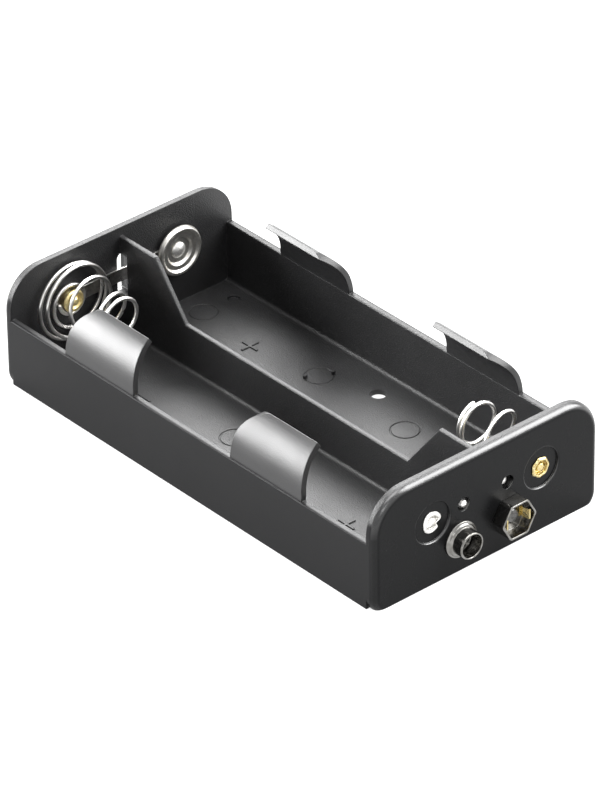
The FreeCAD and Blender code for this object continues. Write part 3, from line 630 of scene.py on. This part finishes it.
@dataclass
class ConicalSpring:
    """Conical contact spring: a loop round the rivet, two base turns and a closed tip.

    Attributes:
        name: the piece's name.
        node: the solid that it stands for.
        end: 1 on the near plate and -1 on the far one.
        phase: where the wire starts, in turns.
        widen: factor on the radii half way up, which fades above and below.
        lean: rise of the axis for each millimetre of height.
        tighten: share by which the radii shrink above the base turns, and fades beyond.
        widen_bell: turn where widen is full, and how many turns away it has faded.
        tighten_bell: turn where tighten is full, and how many turns away it has faded.
        plate_x: inner face of the end plates.
        centre_y: how far the contact lies from the middle.
        centre_z: height of the contact.
        wire: diameter of the wire.
        strap: thickness of the strap under the base, with a gap of 0.01.
        per_turn: rings of the mesh for each turn.
        sides: sides of the wire's section.
        ease: half width of the smoothing in turns.
        tip: share of the wire's radius that its two end rings have.
        stations: turns, radius and height above the strap.
    """

    name: str
    node: str
    end: int
    phase: float
    widen: float
    lean: float
    tighten: float = 0.0
    widen_bell: Span = (4.9, 0.7)
    tighten_bell: Span = (3.65, 0.45)
    plate_x: float = PLATE_IN
    centre_y: float = CONTACT_Y
    centre_z: float = CONTACT_Z
    wire: float = 0.82
    strap: float = 0.41
    per_turn: int = 128
    sides: int = 20
    ease: float = 0.2
    tip: float = 0.5
    stations: tuple[tuple[float, float, float], ...] = (
        (0.5, 3.10, 0.0), (1.10, 3.15, 0.0), (1.25, 3.3, 0.0), (1.5, 4.3, 0.0), (1.75, 6.4, 0.0),
        (2.0, 7.9, 0.1), (2.25, 8.2, 0.2), (2.5, 8.5, 0.4), (2.75, 8.4, 0.7), (3.0, 8.1, 1.05),
        (3.25, 8.0, 1.5), (3.5, 7.9, 2.1), (3.75, 7.4, 2.9), (4.0, 6.8, 4.1), (4.25, 6.0, 5.2),
        (4.5, 5.35, 6.4), (4.75, 5.0, 8.4), (5.0, 4.8, 10.9), (5.25, 4.65, 13.0), (5.5, 4.55, 14.3),
        (5.75, 4.45, 14.8), (6.0, 4.4, 15.1), (6.25, 4.4, 15.4), (6.75, 4.4, 15.9),
    )

    def smooth(self, values: np.ndarray, reach: int) -> np.ndarray:
        """Average along the wire under a raised cosine.

        Args:
            values: one number for each ring.
            reach: half width of the window in rings.

        Returns:
            As many smoothed numbers.
        """
        window = np.hanning(2 * reach + 3)[1:-1]
        padded = np.pad(values, reach, mode="edge")
        return np.convolve(padded, window / window.sum(), "valid")

    def rings(self) -> np.ndarray:
        """Section of the wire at every ring.

        The centre line's radius r and height h follow straight stretches over the turns t
        and are then smoothed, and r is widened and tightened by the two bells. Its point is
        the contact's centre plus r in the direction of the angle 2 pi (t + phase) in the YZ
        plane, h away from the plate, and lean times h upwards. A section is a circle spanned
        by the radial direction and the axis.

        Returns:
            Array of rings by sides by 3.
        """
        table = np.array(self.stations)
        count = int((table[-1, 0] - table[0, 0]) * self.per_turn) + 1
        turns = np.linspace(table[0, 0], table[-1, 0], count)
        reach = int(self.ease * self.per_turn)
        radius = self.smooth(np.interp(turns, table[:, 0], table[:, 1]), reach)
        wide = (self.widen - 1.0) * bell(turns, *self.widen_bell)
        tight = self.tighten * bell(turns, *self.tighten_bell)
        radius = radius * (1.0 + wide - tight)
        height = self.smooth(np.interp(turns, table[:, 0], table[:, 2]), reach)
        angle = 2 * np.pi * (turns + self.phase)
        half = self.wire / 2
        out = np.stack([np.zeros(count), -self.end * np.cos(angle), np.sin(angle)], -1)
        centre = radius[:, None] * out
        centre[:, 0] = self.end * (self.plate_x - self.strap - half - height)
        centre[:, 1] += self.end * self.centre_y
        centre[:, 2] += self.centre_z + self.lean * height
        around = np.linspace(0.0, 2 * np.pi, self.sides, endpoint=False)
        axis = np.array([1.0, 0.0, 0.0])
        thick = np.full((count, 1, 1), half)
        thick[[0, -1]] *= self.tip
        section = out[:, None, :] * np.cos(around)[None, :, None] + axis * np.sin(around)[None, :, None]
        return centre[:, None, :] + thick * section

    def build(self, materials: Materials) -> bpy.types.Object:
        """Make the spring and let it stand for its solid.

        Args:
            materials: the materials by slot name.

        Returns:
            The spring.
        """
        piece = add_grid_piece(self.name, self.rings(), Slot.SPRING, materials)
        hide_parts(self.node)
        return piece


@dataclass(frozen=True)
class Tail:
    """How the tail of a rivet differs from a round one.

    Attributes:
        lumps: height of the waves round the tail, as a share of its radius.
        waves: how many waves go round.
        notch: share of the radius that is cut away at the notch.
        notch_at: angle of the notch from +Y towards +Z, in radians.
        notch_width: half width of the notch in radians.
        start: how far outwards the tail starts.
        blend: length over which its form comes in.
    """

    lumps: float = 0.0
    waves: int = 6
    notch: float = 0.0
    notch_at: float = 0.0
    notch_width: float = 0.38
    start: float = 1.0
    blend: float = 0.6

    def factor(self, along: np.ndarray, angle: np.ndarray) -> np.ndarray:
        """Factor on the radius: 1 up to the start, then with the waves and without the notch.

        With s from 0 to 1 over the blend, it is 1 + s (lumps cos(waves angle) - notch bell),
        where the bell lies over the notch's angle.

        Args:
            along: way outwards of each point, rings by sides.
            angle: angles round the axis in radians.

        Returns:
            Array of rings by sides.
        """
        share = np.clip((along - self.start) / self.blend, 0.0, 1.0)
        away = np.angle(np.exp(1j * (angle - self.notch_at)))
        cut = self.notch * bell(away, 0.0, self.notch_width, power=4)
        dip = self.lumps * np.cos(self.waves * angle) - cut
        return 1.0 + share * dip[None, :]


@dataclass
class Turned:
    """Piece turned about an axis along X, round or six-sided, with softened corners.

    Attributes:
        name: the piece's name.
        node: the solid that it stands for, or None.
        slot: the slot whose finish it takes.
        end: 1 on the near plate and -1 on the far one.
        seat_mm: where the profile's zero lies on the X axis, and the axis' Y and Z.
        profile: closed outline as pairs of the way outwards and the radius.
        soften: how far each corner is cut back.
        most_cut: the largest share of a stretch that a corner may take.
        corner_points: points on the curve that replaces a corner.
        sides: points round the axis.
        six_sided: whether the radius is half the size across the flats of a hexagon.
        hexagon_power: larger for a hexagon with sharper corners.
        tail: form of a rivet's tail.
    """

    name: str
    node: str | None
    slot: Slot
    end: int
    seat_mm: tuple[float, float, float]
    profile: Profile
    soften: float = 0.16
    most_cut: float = 0.42
    corner_points: int = 6
    sides: int = 72
    six_sided: bool = False
    hexagon_power: int = 26
    tail: Tail = Tail()

    def rounded(self) -> np.ndarray:
        """Profile with each corner replaced by a short curve.

        A corner P between A and B gives points (1-t)^2 P0 + 2t(1-t) P + t^2 P1, where P0 and
        P1 lie on the two stretches, cut back by the softening or at most a share of a stretch.

        Returns:
            Array of points by 2.
        """
        corners = np.array(self.profile)
        before, after = np.roll(corners, 1, 0) - corners, np.roll(corners, -1, 0) - corners
        share = np.linspace(0.0, 1.0, self.corner_points)[None, :, None]
        ends = []
        for way in (before, after):
            length = np.maximum(np.linalg.norm(way, axis=1, keepdims=True), LEAST_LENGTH)
            ends.append(corners + way / length * np.minimum(self.soften, self.most_cut * length))
        first, last, middle = ends[0][:, None], ends[1][:, None], corners[:, None]
        curve = (1 - share) ** 2 * first + 2 * share * (1 - share) * middle + share ** 2 * last
        points = curve.reshape(-1, 2)
        points[:, 1] = np.maximum(points[:, 1], 0.0)
        return points

    def spread(self, angle: np.ndarray) -> np.ndarray:
        """Factor on the radius for each angle.

        A six-sided piece has (sum over k = 0, 1, 2 of |cos(angle - 30 - 60 k)|^p)^(-1/p),
        which is a hexagon with corners at 0, 60, ... degrees that are sharper for a larger p.

        Args:
            angle: angles round the axis in radians.

        Returns:
            One factor for each angle.
        """
        if not self.six_sided:
            return np.ones_like(angle)
        flats = np.abs(np.cos(angle[:, None] - np.pi / 6 - np.arange(3) * np.pi / 3))
        return (flats ** self.hexagon_power).sum(1) ** (-1 / self.hexagon_power)

    def build(self, materials: Materials) -> bpy.types.Object:
        """Make the piece and let it stand for its solid.

        The point at the way outwards s and the angle a has x = x0 + s, y = y0 + r cos a and
        z = z0 + r sin a, where r is the profile's radius times both factors. The far plate's
        pieces are turned half round the Z axis by the sign of their end.

        Args:
            materials: the materials by slot name.

        Returns:
            The piece.
        """
        outline = self.rounded()
        angle = np.linspace(0.0, 2 * np.pi, self.sides, endpoint=False)
        along = np.repeat(outline[:, :1], self.sides, 1)
        radius = outline[:, 1:] * self.spread(angle)[None, :] * self.tail.factor(along, angle)
        x0, y0, z0 = self.seat_mm
        across = self.end * y0 + radius * np.cos(angle)[None, :]
        above = z0 + radius * np.sin(angle)[None, :]
        grid = np.stack([self.end * (x0 + along), across, above], -1)
        grid = np.concatenate([grid, grid[:1]], 0)
        piece = add_grid_piece(self.name, grid, self.slot, materials, caps=False)
        if self.node:
            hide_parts(self.node)
        return piece


@dataclass
class EndContacts:
    """The brass rivet, the tin plated rivet and the disc of one end plate.

    Attributes:
        place: first word of the pieces' names.
        end: 1 on the near plate and -1 on the far one.
        brass_tail: form of the brass rivet's tail.
        tin_tail: form of the tin plated rivet's tail.
        brass_stack: thickness of what the brass rivet's head holds on the plate.
        brass_head: radius of its head.
        brass_reach: radius of its tail.
        tin_stack: thickness of what the tin plated rivet's head holds on the plate.
        tin_head: radius of its head.
        tin_reach: radius of its tail.
        shank: radius of the rivets' shanks.
        disc_sides: points round the disc's axis.
        disc: outline of the stamped disc, first the side to the plate from the bore outwards
            and then the side to the cell back to the bore.
    """

    place: str
    end: int
    brass_tail: Tail = Tail()
    tin_tail: Tail = Tail()
    brass_stack: float = 1.3
    brass_head: float = 2.5
    brass_reach: float = 2.2
    tin_stack: float = 0.75
    tin_head: float = 1.8
    tin_reach: float = 2.3
    shank: float = 1.4
    disc_sides: int = 96
    disc: Profile = (
        (-0.4, 1.5), (-0.4, 2.91), (-1.0, 3.25), (-1.0, 4.26), (-1.5, 4.7), (-1.5, 5.21), (-0.73, 5.6),
        (-1.08, 5.6), (-1.85, 5.21), (-1.85, 4.7), (-1.35, 4.26), (-1.35, 3.25), (-0.75, 2.91), (-0.75, 1.5),
    )

    def tail_profile(self, reach: float) -> Profile:
        """Outline of a tubular rivet's tail, rolled over in the recess, with a core inside.

        Args:
            reach: outer radius of the tail.

        Returns:
            Pairs of the way outwards and the radius.
        """
        return (
            (1.8, self.shank), (1.8, reach), (2.0, reach), (2.3, reach - 0.3), (2.3, 1.6), (1.2, 1.35),
            (1.2, 1.1), (2.1, 0.8), (2.3, 0.0),
        )

    def grooved_head(self, stack: float, head: float) -> Profile:
        """Outline of a rivet's head with a groove round a low dome, down to the shank.

        Args:
            stack: thickness of what lies between the head and the plate.
            head: radius of the head.

        Returns:
            Pairs of the way outwards and the radius.
        """
        top = -stack - 0.7
        return (
            (top - 0.4, 0.0), (top - 0.3, 0.6), (top, 1.0), (top + 0.4, 1.15), (top + 0.4, 1.35), (top, 1.6),
            (top, head - 0.3), (top + 0.3, head - 0.05), (-stack, head), (-stack, self.shank),
        )

    def domed_head(self, stack: float, head: float) -> Profile:
        """Outline of a rivet's head with one broad dome, down to the shank.

        Args:
            stack: thickness of what lies between the head and the plate.
            head: radius of the head.

        Returns:
            Pairs of the way outwards and the radius.
        """
        return (
            (-stack - 0.8, 0.0), (-stack - 0.74, 0.6), (-stack - 0.55, 1.1), (-stack - 0.25, head - 0.15),
            (-stack, head), (-stack, self.shank),
        )

    def build(self, materials: Materials) -> None:
        """Make both rivets and the disc.

        Args:
            materials: the materials by slot name.
        """
        spring_seat = (PLATE_IN, CONTACT_Y, CONTACT_Z)
        disc_seat = (PLATE_IN, -CONTACT_Y, CONTACT_Z)
        brass = self.grooved_head(self.brass_stack, self.brass_head) + self.tail_profile(self.brass_reach)
        tin = self.domed_head(self.tin_stack, self.tin_head) + self.tail_profile(self.tin_reach)
        Turned(
            f"{self.place}_brass_rivet", f"{self.place}_spring_rivet", Slot.BRASS, self.end, spring_seat,
            brass, tail=self.brass_tail,
        ).build(materials)
        Turned(
            f"{self.place}_tin_rivet", f"{self.place}_disc_rivet", Slot.RIVET, self.end, disc_seat,
            tin, tail=self.tin_tail,
        ).build(materials)
        Turned(
            f"{self.place}_disc", f"{self.place}_disc_contact", Slot.NICKEL, self.end, disc_seat, self.disc,
            sides=self.disc_sides,
        ).build(materials)


@dataclass
class SnapStuds:
    """The tubular stud and the six-sided socket on the near plate's outer face.

    Attributes:
        stud: outline of the stud with its flange, rolled rim and bore.
        stud_soften: how far its corners are cut back.
        socket: outline of the socket, whose radii are half its sizes across the flats.
        socket_soften: how far its corners are cut back.
        socket_sides: points round its axis.
    """

    stud: Profile = (
        (0.0, 1.3), (0.0, 3.9), (0.4, 3.9), (0.55, 3.5), (0.8, 3.35), (1.0, 2.875), (3.2, 2.875),
        (3.5, 2.75), (3.5, 2.5), (3.25, 2.425), (0.4, 2.425), (0.4, 1.3),
    )
    stud_soften: float = 0.1
    socket: Profile = ((0.0, 1.3), (0.0, 3.85), (3.0, 3.85), (3.0, 3.45), (0.4, 3.45), (0.4, 1.3))
    socket_soften: float = 0.12
    socket_sides: int = 144

    def build(self, materials: Materials) -> None:
        """Make the stud and the socket.

        Args:
            materials: the materials by slot name.
        """
        Turned(
            "stud_turned", "male_stud", Slot.NICKEL, 1, (PLATE_OUT, MALE_Y, STUD_Z), self.stud,
            soften=self.stud_soften,
        ).build(materials)
        Turned(
            "socket_turned", "female_socket", Slot.NICKEL, 1, (PLATE_OUT, FEMALE_Y, STUD_Z), self.socket,
            soften=self.socket_soften, sides=self.socket_sides, six_sided=True,
        ).build(materials)


@dataclass
class Bead:
    """Small bead on a strap, seen through one of the near plate's two small holes.

    Attributes:
        name: the piece's name.
        across: where it lies on the Y axis.
        height: where it lies on the Z axis.
        rise: how far it stands out of the plate's inner face into the hole.
        base: radius at the foot.
        shoulder: way outwards as a share of the rise, and the radius there.
        crown: the same nearer to the top.
        sides: points round the axis.
    """

    name: str
    across: float
    height: float
    rise: float
    base: float = 1.35
    shoulder: Span = (0.4, 1.3)
    crown: Span = (0.8, 0.8)
    sides: int = 36

    def build(self, materials: Materials) -> None:
        """Make the bead.

        Args:
            materials: the materials by slot name.
        """
        sloping = tuple((share * self.rise, radius) for share, radius in (self.shoulder, self.crown))
        dome = ((0.0, 0.0), (0.0, self.base), *sloping, (self.rise, 0.0))
        seat = (PLATE_IN, self.across, self.height)
        Turned(self.name, None, Slot.RIVET, 1, seat, dome, sides=self.sides).build(materials)


@dataclass(frozen=True)
class Lamp:
    """Square soft lamp that faces the object.

    Attributes:
        name: the lamp's name.
        azimuth: its bearing in degrees.
        elevation: its height in degrees.
        away: its distance.
        side: side of the square.
        power: in watts.
    """

    name: str
    azimuth: float
    elevation: float
    away: float
    side: float
    power: float


# In order: sheen of the floors, light from above, highlight on the front clips, light upper
# edges of the near plate, and a weak glint on the studs
LAMPS = (
    Lamp("back lamp", azimuth=231.0, elevation=40.0, away=1.1, side=0.7, power=30.0),
    Lamp("top lamp", azimuth=60.0, elevation=84.0, away=1.2, side=0.9, power=12.0),
    Lamp("left lamp", azimuth=-50.0, elevation=21.0, away=1.0, side=0.5, power=26.0),
    Lamp("rim lamp", azimuth=148.0, elevation=36.0, away=1.0, side=0.8, power=23.0),
    Lamp("front lamp", azimuth=56.0, elevation=32.0, away=1.3, side=0.3, power=2.0),
)


@dataclass
class Studio:
    """Plain white studio: floor, world, soft lamps and the camera.

    Attributes:
        target_mm: the point that the camera looks at.
        azimuth: camera's bearing, 0 looks along +Y, in degrees.
        elevation: camera's height above the horizon, in degrees.
        roll: turn of the picture, in degrees.
        distance: from the camera to its target.
        lens_mm: focal length.
        sensor_mm: size of the sensor on the picture's long side.
        clip_span: nearest and farthest distance that the camera sees.
        floor_size: side of the square floor.
        floor_grey: colour of the floor for the light that falls on it.
        floor_glow: light added to the floor where it is seen, so that it looks white.
        sky: brightness of the world for light that isn't seen.
    """

    target_mm: tuple[float, float, float] = (3.86, -2.45, 12.05)
    azimuth: float = 49.28
    elevation: float = 32.94
    roll: float = -0.80
    distance: float = 1.2506
    lens_mm: float = 287.8
    sensor_mm: float = 36.0
    clip_span: Span = (0.01, 50.0)
    floor_size: float = 6.0
    floor_grey: float = 0.25
    floor_glow: float = 0.82
    sky: float = 0.45

    def bearing(self, azimuth: float, elevation: float) -> Vector:
        """Direction from the object towards a bearing.

        Args:
            azimuth: 0 is towards -Y and 90 towards +X, in degrees.
            elevation: above the horizon, in degrees.

        Returns:
            The unit vector.
        """
        turn, lift = math.radians(azimuth), math.radians(elevation)
        level = math.cos(lift)
        return Vector((math.sin(turn) * level, -math.cos(turn) * level, math.sin(lift)))

    def place_camera(self) -> bpy.types.Object:
        """Set the camera at the picture's viewpoint.

        Returns:
            The camera.
        """
        back = self.bearing(self.azimuth, self.elevation)
        turn = math.radians(self.azimuth)
        right = Vector((math.cos(turn), math.sin(turn), 0.0))
        up = back.cross(right)
        lean = math.radians(self.roll)
        across = right * math.cos(lean) + up * math.sin(lean)
        above = up * math.cos(lean) - right * math.sin(lean)
        camera = bpy.data.objects.new("camera", bpy.data.cameras.new("camera"))
        bpy.context.scene.collection.objects.link(camera)
        camera.data.lens = self.lens_mm
        camera.data.sensor_width = self.sensor_mm
        camera.data.clip_start, camera.data.clip_end = self.clip_span
        pose = Matrix((across, above, back)).transposed().to_4x4()
        pose.translation = Vector(self.target_mm) * MM + back * self.distance
        camera.matrix_world = pose
        bpy.context.scene.camera = camera
        return camera

    def hang(self, lamp: Lamp) -> bpy.types.Object:
        """Hang one lamp so that it faces the object.

        Args:
            lamp: where it hangs, its size and its power.

        Returns:
            The lamp's object.
        """
        light = bpy.data.objects.new(lamp.name, bpy.data.lights.new(lamp.name, "AREA"))
        bpy.context.scene.collection.objects.link(light)
        light.data.shape = "SQUARE"
        light.data.size = lamp.side
        light.data.energy = lamp.power
        toward = self.bearing(lamp.azimuth, lamp.elevation)
        light.location = toward * lamp.away
        light.rotation_mode = "QUATERNION"
        light.rotation_quaternion = toward.to_track_quat("Z", "Y")
        return light

    def seen(self, graph: NodeGraph) -> object:
        """Mask of the rays that show the background: camera, glossy and transmission rays."""
        path = graph.add("ShaderNodeLightPath")
        first = graph.calc("MAXIMUM", path.outputs["Is Camera Ray"], path.outputs["Is Glossy Ray"])
        return graph.calc("MAXIMUM", first, path.outputs["Is Transmission Ray"])

    def light_world(self) -> None:
        """White where it is seen, a plain grey as light."""
        world = bpy.data.worlds.new("studio")
        bpy.context.scene.world = world
        graph = NodeGraph(world)
        shader = graph.add("ShaderNodeBackground")
        graph.feed(WHITE, shader.inputs["Color"])
        graph.join(graph.scale(self.seen(graph), (0.0, 1.0), (self.sky, 1.0)), shader.inputs["Strength"])
        output = graph.add("ShaderNodeOutputWorld")
        graph.join(shader.outputs[0], output.inputs["Surface"])

    def lay_floor(self) -> bpy.types.Object:
        """Floor under the object that looks white and keeps the object's shadow.

        Returns:
            The floor.
        """
        half = self.floor_size / 2
        corners = [(-half, -half, 0.0), (half, -half, 0.0), (half, half, 0.0), (-half, half, 0.0)]
        mesh = bpy.data.meshes.new("floor")
        mesh.from_pydata(corners, [], [(0, 1, 2, 3)])
        floor = bpy.data.objects.new("floor", mesh)
        bpy.context.scene.collection.objects.link(floor)
        material = bpy.data.materials.new("white floor")
        graph = NodeGraph(material)
        diffuse = graph.add("ShaderNodeBsdfDiffuse")
        graph.feed((self.floor_grey,) * 3, diffuse.inputs["Color"])
        glow = graph.add("ShaderNodeEmission")
        graph.feed(WHITE, glow.inputs["Color"])
        graph.join(graph.scale(self.seen(graph), (0.0, 1.0), (0.0, self.floor_glow)), glow.inputs["Strength"])
        both = graph.add("ShaderNodeAddShader")
        graph.join(diffuse.outputs[0], both.inputs[0])
        graph.join(glow.outputs[0], both.inputs[1])
        graph.surface(both)
        dress(floor, material)
        return floor

    def build(self) -> None:
        """Set up the whole studio."""
        bpy.context.scene.view_settings.view_transform = "Standard"
        self.light_world()
        self.lay_floor()
        for lamp in LAMPS:
            self.hang(lamp)
        self.place_camera()


def main(frame: dict) -> None:
    """Build everything in order.
    """
    logging.basicConfig(level=logging.INFO, format="%(message)s")
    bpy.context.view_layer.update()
    holder = Holder()
    LOG.info("dressed %d solids", holder.dress_nodes(frame))
    waved = Tail(lumps=0.04, waves=7)
    split = Tail(lumps=0.05, waves=3, notch=0.55, notch_at=-0.35)
    assemblies = (
        ConicalSpring("far_spring_coil", "far_spring", end=-1, phase=0.0, widen=1.0, lean=0.17),
        ConicalSpring(
            "near_spring_coil", "near_spring", end=1, phase=0.5, widen=1.17, lean=0.09, tighten=0.17
        ),
        EndContacts("far", -1),
        EndContacts("near", 1, brass_tail=waved, tin_tail=split),
        SnapStuds(),
        Bead("left_bead", across=-5.4, height=14.3, rise=2.1),
        Bead("right_bead", across=5.0, height=14.8, rise=1.7),
    )
    for assembly in assemblies:
        assembly.build(holder.materials)
    Studio().build()
    LOG.info("studio is ready")


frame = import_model()

if __name__ == "__main__":
    main(frame)
